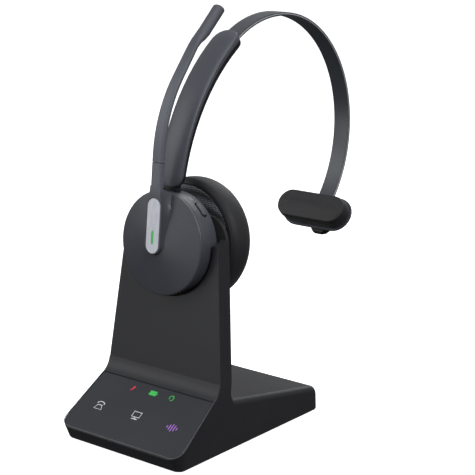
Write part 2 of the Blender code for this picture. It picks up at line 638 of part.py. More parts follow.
def sleeve_half(side):
    """One of the sleeve's two half shells; side is 1 for the outer cover and -1 for the inner."""
    length = SLEEVE_R * (SLEEVE_TO - SLEEVE_FROM)
    end = [0.0, 0.3, 1.1, 2.4, 4.4, SLEEVE_CORNER]
    middle = [SLEEVE_CORNER + (length - 2 * SLEEVE_CORNER) * i / 12 for i in range(1, 12)]
    rings = []
    for run in end + middle + [length - inside for inside in reversed(end)]:
        centre, outward = sleeve_frame(SLEEVE_FROM + run / SLEEVE_R)
        half = SLEEVE_HALF_X - corner_pull(min(run, length - run), SLEEVE_CORNER)
        thick = SLEEVE_THICK[0] + (SLEEVE_THICK[1] - SLEEVE_THICK[0]) * run / length
        face = 0.0 if side > 0 else -thick
        crown = SLEEVE_CROWN * half / SLEEVE_HALF_X
        section = [(1.0, -thick / 2 + side * GAP / 2 - face), (1.0, -0.8 * side), (0.96, -0.2 * side)]
        section += [(x, side * crown * (1 - x * x)) for x in (0.85, 0.65, 0.35, 0.0)]
        section += [(-x, n) for x, n in reversed(section[:-1])]
        rings.append([centre + Vector((x * half, 0.0, 0.0)) + outward * (face + n) for x, n in section])
    return loft(rings)


def band_sector(low, high, start, end, steps):
    """Part of a ring about the band's centre, as an outline in (y, z)."""
    return arc(BAND_CENTRE, high, start, end, steps) + arc(BAND_CENTRE, low, end, start, steps)


def build_headband(mats, cup):
    # Stem that turns in the top of the cup and carries the sleeve on a cross pin
    spigot = lathe([(24.4, 0.0), (24.4, 1.75), (25.75, 1.75), (25.75, 2.2), (28.9, 2.2), (28.9, 0.0)], 24,
                   False,
                   (0, 0, 1))
    stem = add("swivel_stem", spigot, mats["dark"], cup, (0.0, STEM_AXIAL, 0.0))
    boolean(stem, add("stem_collar", prism(rounded(5.0, 2.8, 2.2, (0.0, 7.7)), 28.5, 29.45, "z"),
                      parent=cup), "UNION")
    tongue = [(9.4, 29.0)] + arc(TILT_PIN, 1.3, 0.0, math.pi, 8) + [(5.6, 29.0)]
    boolean(stem, add("tongue_block", prism(tongue, -4.2, 4.2, "x"), parent=cup), "UNION")
    boolean(stem, add("tilt_bore", prism(disc(TILT_PIN, 0.8 + RUN, 16), -8.0, 8.0, "x"), parent=cup))
    add("stem_clip", lathe([(24.6, 1.75 + RUN), (24.6, 3.6), (25.4, 3.6), (25.4, 1.75 + RUN)], 20, True,
                           (0, 0, 1)),
        mats["steel"], cup, (0.0, STEM_AXIAL, 0.0))
    add("tilt_pin", prism(disc(TILT_PIN, 0.8, 16), -6.4, 6.4, "x"), mats["steel"], cup)

    outer = add("sleeve_outer", sleeve_half(1), mats["cup"])
    inner = add("sleeve_inner", sleeve_half(-1), mats["dark"])
    channel = add("band_channel", prism(band_sector(BAND_R - 1.4, BAND_R + 1.4, math.radians(108),
                                                    math.radians(138.4), 20), -5.9, 5.9, "x"))
    fork = [(12.0, 32.0), (12.0, 28.0), (3.9, 28.0), (3.9, 31.0), (4.5, 36.0), (4.8, 39.4), (7.4, 39.6),
            (12.0, 37.0)]
    slot = add("tongue_slot", prism(fork, -4.7, 4.7, "x"), parent=cup)
    bore = add("sleeve_bore", prism(disc(TILT_PIN, 0.8 + RUN, 16), -6.6, 6.6, "x"), parent=cup)
    for half in (outer, inner):
        boolean(half, channel)
        boolean(half, slot)
        boolean(half, bore)

    strip = band_sector(BAND_R - BAND_THICK / 2, BAND_R + BAND_THICK / 2, BAND_END, BAND_HIDDEN, 56)
    add("headband", prism(strip, -BAND_HALF_WIDTH, BAND_HALF_WIDTH, "x"), mats["band"])


def build_rest(mats):
    """Temple rest at the band's far end; local Y runs away from the head and local Z up the band."""
    middle = (0.0, BAND_CENTRE[0] + BAND_R * math.cos(REST_ANGLE),
              BAND_CENTRE[1] - BAND_R * math.sin(REST_ANGLE))
    rest = empty("rest_frame", middle, -REST_ANGLE)
    knuckle = [(1.0, -4.6), (-0.2, -10.2), (-0.7, -12.6), (-0.75, -16.0), (-0.2, -18.4), (1.6, -20.6),
               (2.6, -24.0),
               (3.8, -26.8), (6.0, -27.4), (8.0, -25.6), (8.8, -21.6), (8.6, -16.0), (7.0, -10.0),
               (4.4, -5.8),
               (2.6, -4.4)]
    boss = add("rest_knuckle", prism(knuckle, -6.6, 6.6, "x"), mats["dark"], rest)
    mound = [(6.7, 0.0), (-6.7, 0.0), (-6.7, -21.0), (-5.9, -23.4), (-4.6, -25.6), (-3.2, -27.1),
             (-1.6, -27.8)]
    mound += [(-x, z) for x, z in reversed(mound[2:])]
    boolean(boss, add("mound_outline", prism(mound, -6.0, 14.0), parent=rest), "INTERSECT")
    bevel(boss, 0.7, 2, 50)
    boolean(boss, add("end_slot", prism(band_sector(BAND_R - 2.6, BAND_R + 1.4, math.radians(-43.0),
                                                    math.radians(-20), 12), -5.7, 5.7, "x")))
    boolean(boss, add("ear_slot", box((-2.8, 2.8), (-3.0, 4.4), (-19.6, -11.2)), parent=rest))
    boolean(boss, add("rest_bore", prism(disc(REST_PIN, 0.9 + RUN, 16), -5.8, 5.8, "x"), parent=rest))
    add("rest_pin", prism(disc(REST_PIN, 0.9, 16), -5.5, 5.5, "x"), mats["steel"], rest)

    plate = add("rest_plate", prism(stadium((0.0, -16.2), 13.7, 10.7, steps=12), -4.0, -2.4), mats["cup"],
                rest)
    ear = arc(REST_PIN, 2.1, -math.pi / 2, math.pi / 2, 8) + [(-3.0, -13.2), (-3.0, -17.4)]
    boolean(plate, add("ear_block", prism(ear, -2.4, 2.4, "x"), parent=rest), "UNION")
    boolean(plate, bpy.data.objects["rest_bore"])
    cushion = add("rest_pad", prism(stadium((0.0, -16.4), 15.3, 9.4, steps=12), -13.7, -4.35),
                  mats["leather"], rest)
    bevel(cushion, 0.9, 3, 60)


def main():
    clear_scene()
    mats = {
        "dock": material("dock_plastic", (0.020, 0.020, 0.024), 0.45),
        "panel": material("touch_plastic", (0.026, 0.027, 0.033), 0.38),
        "liner": material("liner_plastic", (0.006, 0.006, 0.007), 0.6),
        "cup": material("slate_plastic", (0.060, 0.065, 0.080), 0.42),
        "dark": material("dark_plastic", (0.016, 0.016, 0.019), 0.45),
        "silver": material("brushed_silver", (0.62, 0.63, 0.64), 0.32, 1.0),
        "green": material("green_lens", (0.05, 0.75, 0.15), 0.3),
        "leather": material("black_leatherette", (0.014, 0.014, 0.016), 0.55),
        "ring": material("ring_plastic", (0.045, 0.047, 0.055), 0.45),
        "mesh": material("knit_mesh", (0.035, 0.036, 0.042), 0.8),
        "band": material("coated_steel", (0.05, 0.053, 0.062), 0.4, 0.4),
        "steel": material("steel", (0.55, 0.56, 0.58), 0.3, 1.0),
        "gold": material("gold_plate", (0.85, 0.62, 0.25), 0.25, 1.0),
        "board": material("circuit_board", (0.02, 0.12, 0.05), 0.5),
        "battery": material("battery_wrap", (0.35, 0.36, 0.38), 0.5),
        "rubber": material("rubber", (0.012, 0.012, 0.012), 0.8),
    }
    cup = empty("cup_frame", CUP_CENTRE, -LEAN)
    build_dock(mats, cup)
    build_cup(mats, cup)
    build_headband(mats, cup)
    build_rest(mats)


main()
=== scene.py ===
"""Looks of the mono wireless office headset in its charging dock."""

import json
import math

import bmesh
import bpy
from mathutils import Matrix, Vector, kdtree

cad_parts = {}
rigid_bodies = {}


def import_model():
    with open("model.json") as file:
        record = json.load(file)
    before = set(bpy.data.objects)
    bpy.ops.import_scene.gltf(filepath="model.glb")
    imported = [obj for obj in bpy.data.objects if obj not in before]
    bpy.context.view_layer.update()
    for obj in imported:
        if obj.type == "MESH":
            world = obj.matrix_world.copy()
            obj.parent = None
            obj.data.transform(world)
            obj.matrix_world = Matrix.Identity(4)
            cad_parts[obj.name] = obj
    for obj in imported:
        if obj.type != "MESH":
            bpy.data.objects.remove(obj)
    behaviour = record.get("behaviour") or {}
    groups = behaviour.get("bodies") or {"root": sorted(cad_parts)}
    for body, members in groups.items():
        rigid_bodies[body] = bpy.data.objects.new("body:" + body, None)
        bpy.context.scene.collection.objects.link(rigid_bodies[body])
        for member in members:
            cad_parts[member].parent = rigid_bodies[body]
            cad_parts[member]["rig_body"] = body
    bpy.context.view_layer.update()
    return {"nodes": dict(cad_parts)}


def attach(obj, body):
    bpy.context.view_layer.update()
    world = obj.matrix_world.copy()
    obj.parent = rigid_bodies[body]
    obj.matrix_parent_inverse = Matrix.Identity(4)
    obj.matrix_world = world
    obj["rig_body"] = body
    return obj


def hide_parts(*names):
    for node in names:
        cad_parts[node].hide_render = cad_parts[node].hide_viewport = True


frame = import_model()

MM = 0.001

# Leaning frame of the cup and the upright: origin at the middle of the boom cap's rim, Y along the cup's axis
LEAN = math.radians(5.65)
CUP_CENTRE = Vector((0.0, -0.02669, 0.11125))
CUP_FRAME = Matrix.Translation(CUP_CENTRE) @ Matrix.Rotation(-LEAN, 4, "X")

# Housing of the ear cup, in mm along its axis and from it
HOUSING_FRONT = 2.9
HOUSING_BACK = 13.2
HOUSING_FRONT_R = 28.2
HOUSING_BACK_R = 28.05

# Volume key: its angle from the top of the cup towards +X, its place along the axis and its outer face
ROCKER_ANGLE = math.radians(43.0)
ROCKER_AXIAL = 9.0
ROCKER_FACE_R = 28.6

# Sloping touch panel: half width, y and z of the lip and of the seam at its upper end, in mm
LIP = (44.1, -64.3, 8.6)
SEAM = (41.0, -31.2, 31.0)
LIP_RIM = 0.9
GLASS_CORNER = 5.6
PANEL_SLOPE = math.atan2(SEAM[2] - LIP[2], SEAM[1] - LIP[1])
PANEL_LENGTH = 39.97
PANEL_TAPER = math.atan2(LIP[0] - SEAM[0], PANEL_LENGTH)
PANEL_FRAME = Matrix.Translation((0.0, LIP[1] * MM, LIP[2] * MM)) @ Matrix.Rotation(PANEL_SLOPE, 4, "X")

# Headband: centre and radius of its arc, and the angles of its two ends
BAND_CENTRE = Vector((0.0, 0.0705, 0.1552))
BAND_R = 0.0718
BAND_START = math.radians(-42.3)
BAND_END = math.radians(136.9)

# Temple rest: its frame stands on the band's arc with Y outwards
REST_ANGLE = math.radians(35.0)
REST_OUT = Vector((0.0, math.cos(REST_ANGLE), -math.sin(REST_ANGLE)))
REST_FRAME = Matrix.Translation(BAND_CENTRE + REST_OUT * BAND_R) @ Matrix.Rotation(-REST_ANGLE, 4, "X")


# ---------------------------------------------------------------- camera, stage and light
def make_camera():
    data = bpy.data.cameras.new("camera")
    data.sensor_width = 36.0
    data.lens = 110.5
    data.clip_start = 0.01
    camera = bpy.data.objects.new("camera", data)
    bpy.context.scene.collection.objects.link(camera)
    camera.location = (0.5105, -0.5936, 0.3063)
    look = Vector((-0.60893, 0.75466, -0.24429))
    camera.rotation_euler = look.to_track_quat("-Z", "Y").to_euler()
    bpy.context.scene.camera = camera


def area_light(name, location, size, power, size_y=None):
    """Soft box aimed at the middle of the object."""
    data = bpy.data.lights.new(name, "AREA")
    data.shape = "RECTANGLE"
    data.size = size
    data.size_y = size_y or size
    data.energy = power
    light = bpy.data.objects.new(name, data)
    bpy.context.scene.collection.objects.link(light)
    light.location = location
    aim = Vector((0.0, 0.0, 0.12)) - Vector(location)
    light.rotation_euler = aim.to_track_quat("-Z", "Y").to_euler()


def make_world():
    """Soft surround, dimmer below the horizon, that the camera itself sees as plain white."""
    world = bpy.data.worlds.new("studio")
    world.use_nodes = True
    nodes, links = world.node_tree.nodes, world.node_tree.links
    soft = nodes["Background"]
    soft.inputs["Color"].default_value = (0.95, 0.97, 1.0, 1.0)
    way = nodes.new("ShaderNodeTexCoord")
    parts = nodes.new("ShaderNodeSeparateXYZ")
    height = nodes.new("ShaderNodeMapRange")
    height.inputs["From Min"].default_value = -0.35
    height.inputs["From Max"].default_value = 0.45
    height.inputs["To Min"].default_value = 0.07
    height.inputs["To Max"].default_value = 0.40
    links.new(way.outputs["Generated"], parts.inputs["Vector"])
    links.new(parts.outputs["Z"], height.inputs["Value"])
    links.new(height.outputs["Result"], soft.inputs["Strength"])
    white = nodes.new("ShaderNodeBackground")
    white.inputs["Color"].default_value = (1.0, 1.0, 1.0, 1.0)
    white.inputs["Strength"].default_value = 1.1
    seen = nodes.new("ShaderNodeLightPath")
    mix = nodes.new("ShaderNodeMixShader")
    links.new(seen.outputs["Is Camera Ray"], mix.inputs["Fac"])
    links.new(soft.outputs["Background"], mix.inputs[1])
    links.new(white.outputs["Background"], mix.inputs[2])
    links.new(mix.outputs["Shader"], nodes["World Output"].inputs["Surface"])
    bpy.context.scene.world = world


def make_floor():
    """Wide pale floor that the object neither mirrors nor takes light from."""
    half = 6.0
    corners = [(-half, -half, 0), (half, -half, 0), (half, half, 0), (-half, half, 0)]
    mesh = bpy.data.meshes.new("floor")
    mesh.from_pydata(corners, [], [(0, 1, 2, 3)])
    floor = bpy.data.objects.new("floor", mesh)
    bpy.context.scene.collection.objects.link(floor)
    mat = bpy.data.materials.new("pale_floor")
    mat.use_nodes = True
    shader = mat.node_tree.nodes["Principled BSDF"]
    shader.inputs["Base Color"].default_value = (0.9, 0.9, 0.905, 1.0)
    shader.inputs["Roughness"].default_value = 0.8
    shader.inputs["Specular IOR Level"].default_value = 0.1
    shader.inputs["Emission Color"].default_value = (1.0, 1.0, 1.0, 1.0)
    shader.inputs["Emission Strength"].default_value = 0.85
    mesh.materials.append(mat)
    floor.visible_glossy = False
    floor.visible_diffuse = False


def make_lights():
    area_light("left_box", (-0.75, -0.72, 0.62), 0.6, 2.8)
    area_light("front_box", (-0.50, -0.95, 0.06), 0.6, 1.7, size_y=0.4)
    area_light("top_box", (0.15, -0.15, 1.2), 0.8, 2.8)
    area_light("right_box", (0.85, -0.20, 0.72), 0.5, 4.6)
    area_light("back_box", (-0.2, 1.0, 0.75), 0.6, 2.8)


# ---------------------------------------------------------------- materials
def new_material(name, colour, roughness, metallic=0.0):
    mat = bpy.data.materials.new(name)
    mat.use_nodes = True
    shader = mat.node_tree.nodes["Principled BSDF"]
    shader.inputs["Base Color"].default_value = (*colour, 1.0)
    shader.inputs["Roughness"].default_value = roughness
    shader.inputs["Metallic"].default_value = metallic
    return mat, shader


def node(mat, kind, **sockets):
    made = mat.node_tree.nodes.new(kind)
    for name, value in sockets.items():
        made.inputs[name.replace("_", " ")].default_value = value
    return made


def link(mat, start, end):
    mat.node_tree.links.new(start, end)


def object_coordinates(mat, scale=(1.0, 1.0, 1.0)):
    coords = node(mat, "ShaderNodeTexCoord")
    mapping = node(mat, "ShaderNodeMapping")
    mapping.inputs["Scale"].default_value = scale
    link(mat, coords.outputs["Object"], mapping.inputs["Vector"])
    return mapping.outputs["Vector"]


def mottle(mat, shader, colour, vector, scale, spread, low_rough, high_rough):
    """Slight drift of colour and gloss, as a moulded or handled surface has."""
    drift = node(mat, "ShaderNodeTexNoise", Scale=scale, Detail=4.0)
    link(mat, vector, drift.inputs["Vector"])
    ramp = node(mat, "ShaderNodeValToRGB")
    ramp.color_ramp.elements[0].position = 0.3
    ramp.color_ramp.elements[1].position = 0.7
    ramp.color_ramp.elements[0].color = (*[c * (1 - spread) for c in colour], 1.0)
    ramp.color_ramp.elements[1].color = (*[c * (1 + spread) for c in colour], 1.0)
    link(mat, drift.outputs["Fac"], ramp.inputs["Fac"])
    link(mat, ramp.outputs["Color"], shader.inputs["Base Color"])
    gloss = node(mat, "ShaderNodeMapRange")
    gloss.inputs["To Min"].default_value = low_rough
    gloss.inputs["To Max"].default_value = high_rough
    link(mat, drift.outputs["Fac"], gloss.inputs["Value"])
    link(mat, gloss.outputs["Result"], shader.inputs["Roughness"])


def paint_light_by_height(mat, colour, low, high):
    """Paints light or shade into a material: fades it to a second colour between two heights in metres."""
    shader = mat.node_tree.nodes["Principled BSDF"]
    parts = node(mat, "ShaderNodeSeparateXYZ")
    link(mat, object_coordinates(mat), parts.inputs["Vector"])
    fade = node(mat, "ShaderNodeMapRange")
    fade.inputs["From Min"].default_value = low
    fade.inputs["From Max"].default_value = high
    link(mat, parts.outputs["Z"], fade.inputs["Value"])
    mix = node(mat, "ShaderNodeMix")
    mix.data_type = "RGBA"
    link(mat, fade.outputs["Result"], mix.inputs["Factor"])
    link(mat, shader.inputs["Base Color"].links[0].from_socket, mix.inputs[6])
    mix.inputs[7].default_value = (*colour, 1.0)
    link(mat, mix.outputs[2], shader.inputs["Base Color"])
    return mat


def plastic(name, colour, roughness, grain=0.35, grain_size=0.0004, level=0.5):
    """Moulded plastic with a fine spark-eroded grain."""
    mat, shader = new_material(name, colour, roughness)
    shader.inputs["Specular IOR Level"].default_value = level
    vector = object_coordinates(mat)
    mottle(mat, shader, colour, vector, 45.0, 0.07, roughness - 0.04, roughness + 0.05)
    fine = node(mat, "ShaderNodeTexNoise", Scale=1.0 / grain_size, Detail=2.0)
    link(mat, vector, fine.inputs["Vector"])
    bump = node(mat, "ShaderNodeBump", Strength=grain, Distance=0.00004)
    link(mat, fine.outputs["Fac"], bump.inputs["Height"])
    link(mat, bump.outputs["Normal"], shader.inputs["Normal"])
    return mat


def leatherette(name, colour, roughness):
    """Soft coated fabric: small pebbles between fine creases."""
    mat, shader = new_material(name, colour, roughness)
    shader.inputs["Sheen Weight"].default_value = 0.12
    shader.inputs["Sheen Roughness"].default_value = 0.4
    vector = object_coordinates(mat)
    mottle(mat, shader, colour, vector, 60.0, 0.12, roughness - 0.06, roughness + 0.06)
    pebble = node(mat, "ShaderNodeTexVoronoi", Scale=1150.0)
    pebble.feature = "SMOOTH_F1"
    link(mat, vector, pebble.inputs["Vector"])
    crease = node(mat, "ShaderNodeTexNoise", Scale=420.0, Detail=5.0)
    link(mat, vector, crease.inputs["Vector"])
    height = node(mat, "ShaderNodeMath")
    height.operation = "MULTIPLY_ADD"
    height.inputs[1].default_value = 0.6
    link(mat, pebble.outputs["Distance"], height.inputs[0])
    link(mat, crease.outputs["Fac"], height.inputs[2])
    bump = node(mat, "ShaderNodeBump", Strength=0.5, Distance=0.00012)
    link(mat, height.outputs["Value"], bump.inputs["Height"])
    link(mat, bump.outputs["Normal"], shader.inputs["Normal"])
    return mat


def knit(name, ground, thread):
    """Fine knit: small lighter loops in even rows over a dark backing."""
    mat, shader = new_material(name, ground, 0.75)
    vector = object_coordinates(mat)
    loops = node(mat, "ShaderNodeTexVoronoi", Scale=1020.0, Randomness=0.06)
    link(mat, vector, loops.inputs["Vector"])
    wear = node(mat, "ShaderNodeTexNoise", Scale=160.0, Detail=3.0)
    link(mat, vector, wear.inputs["Vector"])
    ramp = node(mat, "ShaderNodeValToRGB")
    ramp.color_ramp.elements[0].position = 0.18
    ramp.color_ramp.elements[1].position = 0.52
    ramp.color_ramp.elements[0].color = (*thread, 1.0)
    ramp.color_ramp.elements[1].color = (*ground, 1.0)
    link(mat, loops.outputs["Distance"], ramp.inputs["Fac"])
    link(mat, ramp.outputs["Color"], shader.inputs["Base Color"])
    rough = node(mat, "ShaderNodeMapRange")
    rough.inputs["To Min"].default_value = 0.62
    rough.inputs["To Max"].default_value = 0.85
    link(mat, wear.outputs["Fac"], rough.inputs["Value"])
    link(mat, rough.outputs["Result"], shader.inputs["Roughness"])
    bump = node(mat, "ShaderNodeBump", Strength=0.8, Distance=0.0002)
    bump.invert = True
    link(mat, loops.outputs["Distance"], bump.inputs["Height"])
    link(mat, bump.outputs["Normal"], shader.inputs["Normal"])
    return mat


def brushed(name, colour, roughness, stretch, metallic=1.0):
    """Metal brushed along the direction in which the noise is stretched."""
    mat, shader = new_material(name, colour, roughness, metallic)
    vector = object_coordinates(mat, stretch)
    mottle(mat, shader, colour, vector, 900.0, 0.1, roughness - 0.07, roughness + 0.1)
    lines = node(mat, "ShaderNodeTexNoise", Scale=1800.0, Detail=3.0)
    link(mat, vector, lines.inputs["Vector"])
    bump = node(mat, "ShaderNodeBump", Strength=0.25, Distance=0.00002)
    link(mat, lines.outputs["Fac"], bump.inputs["Height"])
    link(mat, bump.outputs["Normal"], shader.inputs["Normal"])
    return mat


def glowing(name, colour, strength):
    mat, shader = new_material(name, colour, 0.35)
    vector = object_coordinates(mat)
    mottle(mat, shader, colour, vector, 500.0, 0.08, 0.3, 0.4)
    shader.inputs["Emission Color"].default_value = (*colour, 1.0)
    shader.inputs["Emission Strength"].default_value = strength
    return mat


def make_materials():
    return {
        "dock": plastic("dock_satin", (0.022, 0.022, 0.0255), 0.46, level=0.4),
        "panel": plastic("panel_satin", (0.031, 0.032, 0.039), 0.42, 0.2, level=0.4),
        # Near-black, for the cradle liner and the driver grille: the liner's black also paints the shade in
        # the pocket behind the cup.
        "liner": plastic("liner_black", (0.004, 0.004, 0.005), 0.6, level=0.25),
        "slate": plastic("slate_satin", (0.066, 0.068, 0.084), 0.38),
        # Cap painted lighter towards its upper ridge between two heights: painted highlight standing in for
        # the light its flat face catches.
        "cap": paint_light_by_height(plastic("cap_satin_painted_highlight", (0.062, 0.064, 0.079), 0.40),
                            (0.120, 0.126, 0.152), 0.1375, 0.1450),
        # Boom arm painted darker between two heights towards its upper end: painted shade.
        "boom": paint_light_by_height(plastic("boom_satin_painted_shade", (0.124, 0.130, 0.156), 0.5),
                             (0.080, 0.084, 0.102), 0.188, 0.214),
        "sleeve": plastic("sleeve_satin", (0.078, 0.082, 0.100), 0.42),
        # Light strip along the lip of the touch panel: painted highlight of the lip's rounded edge.
        "rim": plastic("rim_painted_highlight", (0.105, 0.106, 0.118), 0.38),
        "dark": plastic("dark_satin", (0.009, 0.009, 0.011), 0.42, level=0.35),
        "ring": plastic("ring_satin", (0.016, 0.016, 0.018), 0.5, level=0.3),
        "mesh": knit("knit", (0.020, 0.020, 0.023), (0.30, 0.305, 0.335)),
        "band": plastic("band_coating", (0.060, 0.063, 0.075), 0.34),
        "leather": leatherette("leatherette", (0.013, 0.013, 0.0145), 0.55),
        "silver": brushed("silver", (0.60, 0.62, 0.67), 0.42, (1.0, 0.15, 0.15), 0.35),
        "edge": brushed("bright_edge", (0.60, 0.61, 0.63), 0.4, (1.0, 1.0, 1.0), 0.55),
        "steel": brushed("plain_steel", (0.55, 0.56, 0.58), 0.3, (0.1, 1.0, 1.0)),
        "gold": brushed("gold", (0.16, 0.115, 0.05), 0.45, (1.0, 1.0, 0.1)),
        "board": plastic("solder_mask", (0.02, 0.12, 0.05), 0.45),
        "foil": brushed("foil", (0.4, 0.41, 0.43), 0.45, (1.0, 1.0, 1.0), 0.6),
        "rubber": plastic("pad_rubber", (0.010, 0.010, 0.010), 0.8),
        "green": glowing("green_light", (0.04, 0.42, 0.08), 0.36),
        "white": glowing("white_light", (0.62, 0.62, 0.64), 0.30),
        "red": glowing("red_light", (0.62, 0.02, 0.05), 0.45),
        "violet": glowing("violet_light", (0.42, 0.16, 0.66), 0.6),
        "mark": plastic("mark_grey", (0.22, 0.23, 0.26), 0.45),
        # Near-black strip between the headband's faces: painted shadow of the edge gap.
        "groove": plastic("painted_gap_shadow", (0.004, 0.004, 0.005), 0.5, level=0.2),
        # Dark gasket in the gap round the glass: a real gasket, darkened so that it also paints the shade in
        # the seam.
        "gasket": plastic("gasket_black_and_seam_shade", (0.022, 0.022, 0.026), 0.55, level=0.3),
    }


# ---------------------------------------------------------------- pieces
def add_piece(name, mesh, mat, body, replaces, smooth):
    piece = bpy.data.objects.new(name, mesh)
    bpy.context.scene.collection.objects.link(piece)
    mesh.materials.clear()
    mesh.materials.append(mat)
    mesh.shade_smooth()
    mesh.set_sharp_from_angle(angle=math.radians(smooth))
    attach(piece, body)
    if replaces:
        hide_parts(*replaces)
    return piece


def skin(cad_node, mat, round_edges, smooth):
    """The CAD node's own surface with its points welded, edges rounded and shading made smooth."""
    source = frame["nodes"][cad_node]
    bm = bmesh.new()
    bm.from_mesh(source.data)
    bmesh.ops.remove_doubles(bm, verts=bm.verts, dist=2e-6)
    bmesh.ops.dissolve_limit(bm, angle_limit=math.radians(0.4), verts=bm.verts, edges=bm.edges)
    mesh = bpy.data.meshes.new(cad_node + "_skin")
    bm.to_mesh(mesh)
    bm.free()
    piece = add_piece(cad_node + "_skin", mesh, mat, source["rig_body"], (cad_node,), smooth)
    if round_edges:
        step = piece.modifiers.new("round", "BEVEL")
        step.width = round_edges
        step.segments = 2
        step.limit_method = "ANGLE"
        step.angle_limit = math.radians(38)
    flat = piece.modifiers.new("flat_faces", "WEIGHTED_NORMAL")
    flat.keep_sharp = True
    return piece


def make_skins(mats):
    """Pieces whose CAD shape is already the final one: node, material, slot and edge rounding in mm."""
    for cad_node, key, slot, width in (
        ("stand_shell", "dock", "dock_plastic", 0.25),
        ("rear_cover", "dock", "dock_plastic", 0.0),
        ("bottom_plate", "dock", "dock_plastic", 0.1),
        ("touch_panel", "panel", "touch_plastic", 0.0),
        ("cradle_liner", "liner", "liner_plastic", 0.1),
        ("cup_housing", "slate", "slate_plastic", 0.15),
        ("cup_rear_cover", "dark", "dark_plastic", 0.15),
        ("boom_cap", "cap", "slate_plastic", 0.0),
        ("boom_arm", "boom", "slate_plastic", 0.0),
        ("mic_tip", "sleeve", "slate_plastic", 0.0),
        ("call_button", "silver", "brushed_silver", 0.0),
        ("light_line", "green", "green_lens", 0.0),
        ("volume_rocker", "slate", "slate_plastic", 0.2),
        ("sleeve_outer", "sleeve", "slate_plastic", 0.1),
        ("sleeve_inner", "dark", "dark_plastic", 0.1),
        ("swivel_stem", "dark", "dark_plastic", 0.15),
        ("speaker_baffle", "mesh", "knit_mesh", 0.1),
        ("cushion_ring", "ring", "ring_plastic", 0.1),
        ("rest_knuckle", "dark", "dark_plastic", 0.1),
        ("rest_plate", "slate", "slate_plastic", 0.2),
    ):
        smooth = 14.0 if cad_node == "boom_cap" else 40.0  # the cap's ridge keeps a fine crisp edge
        skin(cad_node, mats[key], width * MM, smooth)


def shrink_rocker():
    """The volume key stands a little smaller in its slot, so that the gap shows dark all round."""
    turn = Matrix.Rotation(ROCKER_ANGLE, 4, "Y")
    middle = CUP_FRAME @ turn @ (Vector((0.0, ROCKER_AXIAL, ROCKER_FACE_R)) * MM)
    for vertex in bpy.data.objects["volume_rocker_skin"].data.vertices:
        vertex.co = middle.lerp(vertex.co, 0.93)


def close_seam(moved, fixed):
    """Brings the edge of one skin up to the edge of the skin that it is clipped on."""
    reach = 0.7 * MM
    edge = bpy.data.objects[fixed].data.vertices
    near = kdtree.KDTree(len(edge))
    for i, vertex in enumerate(edge):
        near.insert(vertex.co, i)
    near.balance()
    for vertex in bpy.data.objects[moved].data.vertices:
        spot, _, distance = near.find(vertex.co)
        if distance < reach:
            vertex.co = spot.lerp(vertex.co, 0.1)


def finish_inner_nodes(mats):
    """Gives each carried-over CAD node its finished material."""
    nodes_of = {
        "board": ("touch_sensor_board", "charging_board", "dock_board", "headset_board"),
        "steel": ("ballast_weight", "usb_port_left", "usb_port_right", "screw_front_left",
                  "screw_front_right", "screw_rear_left", "screw_rear_right", "speaker_driver",
                  "boom_retainer", "stem_clip", "tilt_pin", "rest_pin"),
        "gold": ("charge_pin_left", "charge_pin_right", "charge_contact_left", "charge_contact_right"),
        "foil": ("battery",),
        "liner": ("driver_grille",),
        "rubber": ("anti_slip_pad",),
    }
    for key, cad_nodes in nodes_of.items():
        for cad_node in cad_nodes:
            for slot in frame["nodes"][cad_node].material_slots:
                slot.material = mats[key]


# ---------------------------------------------------------------- padded pieces
def grid_mesh(name, rings):
    """Closed mesh through rings of equal length; the first and the last ring are filled."""
    bm = bmesh.new()
    rows = [[bm.verts.new(point) for point in ring] for ring in rings]
    count = len(rows[0])
    for low, high in zip(rows, rows[1:]):
        for i in range(count):
            j = (i + 1) % count
            bm.faces.new((low[i], low[j], high[j], high[i]))
    bm.faces.new(list(reversed(rows[0])))
    bm.faces.new(rows[-1])
    bmesh.ops.recalc_face_normals(bm, faces=bm.faces)
    mesh = bpy.data.meshes.new(name)
    bm.to_mesh(mesh)
    bm.free()
    return mesh


def swell(mesh, sewn, pressure, most):
    """Foam under its cover: cloth blown up between the sewn points, no further than most (in metres)."""
    size = 10.0  # the cloth solver is steadier on a larger copy
    start = [v.co.copy() for v in mesh.vertices]
    copy = mesh.copy()
    copy.transform(Matrix.Scale(size, 4))
    obj = bpy.data.objects.new("swelling", copy)
    bpy.context.scene.collection.objects.link(obj)
    obj.vertex_groups.new(name="sewn").add(sewn, 1.0, "REPLACE")
    cloth = obj.modifiers.new("cover", "CLOTH")
    cloth.settings.quality = 6
    cloth.settings.mass = 0.2
    cloth.settings.use_pressure = True
    cloth.settings.uniform_pressure_force = pressure
    cloth.settings.effector_weights.gravity = 0.0
    cloth.settings.vertex_group_mass = "sewn"
    cloth.point_cache.frame_start = 1
    cloth.point_cache.frame_end = 20
    scene = bpy.context.scene
    for frame_number in range(1, 21):
        scene.frame_set(frame_number)
    done = obj.evaluated_get(bpy.context.evaluated_depsgraph_get()).data
    for vertex, before, after in zip(mesh.vertices, start, done.vertices):
        step = after.co / size - before
        vertex.co = before + step * min(1.0, most / max(step.length, 1e-9))
    bpy.data.objects.remove(obj, do_unlink=True)
    bpy.data.meshes.remove(copy)
    scene.frame_set(1)


def gather(axial, radius, turn):
    """Short puckers that run out from the inner seam and from the back edge."""
    if 24.0 < axial < 37.0 and radius < 16.6:
        return 0.16 * math.sin(turn * 44) * math.exp(-((axial - 32.7) / 2.2) ** 2)
    if radius > 33.0 and axial < 27.0:
        wander = 1.3 * math.sin(turn * 7)
        return 0.07 * math.sin(turn * 58 + wander) * math.exp(-((axial - 23.2) / 1.6) ** 2)
    return 0.0


